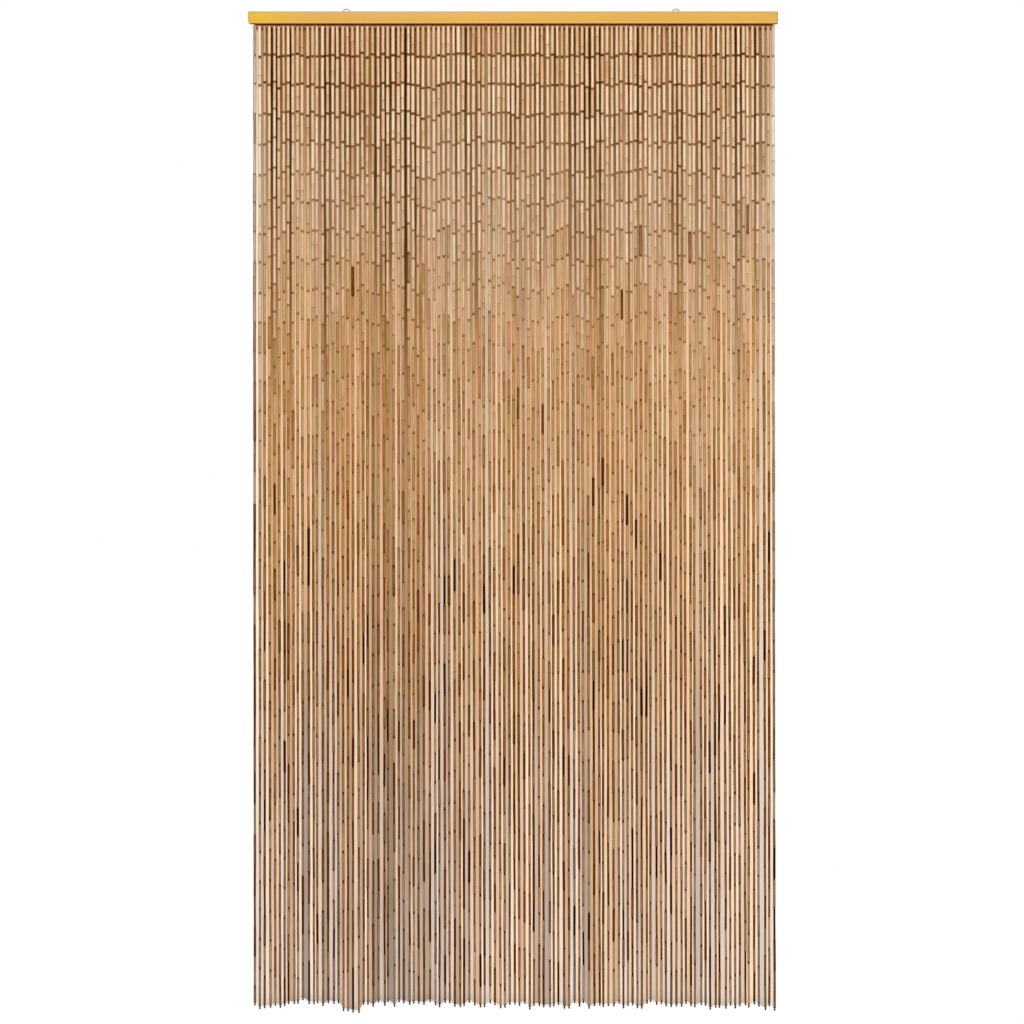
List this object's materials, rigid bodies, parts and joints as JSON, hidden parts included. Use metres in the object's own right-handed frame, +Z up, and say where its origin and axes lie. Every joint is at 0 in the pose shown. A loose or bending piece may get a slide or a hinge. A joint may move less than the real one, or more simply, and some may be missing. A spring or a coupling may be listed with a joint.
{
  "type": "bamboo door curtain with rail",
  "caption": "Hanging door curtain of bamboo tube strands on a painted wooden rail, with two steel hanging rings behind the rail.",
  "frame": {"origin": "midway between the two hanging rings, at the height where their nails bear", "axes": "+X to the right seen from the front, the front faces -Y, +Z up"},
  "size_m": [1.2, 0.0207, 2.2774],
  "materials": {
    "painted_wood": "satin ochre paint on planed softwood",
    "bamboo": "natural bamboo, cut in short tubes, satin skin with darker cut ends",
    "plated_steel": "bright zinc plate"
  },
  "bodies": {
    "root": {"rail": "painted_wood", "strand_row": "bamboo", "ring_left": "plated_steel", "ring_right": "plated_steel", "strap_left": "plated_steel", "strap_right": "plated_steel"}
  },
  "joints": []
}
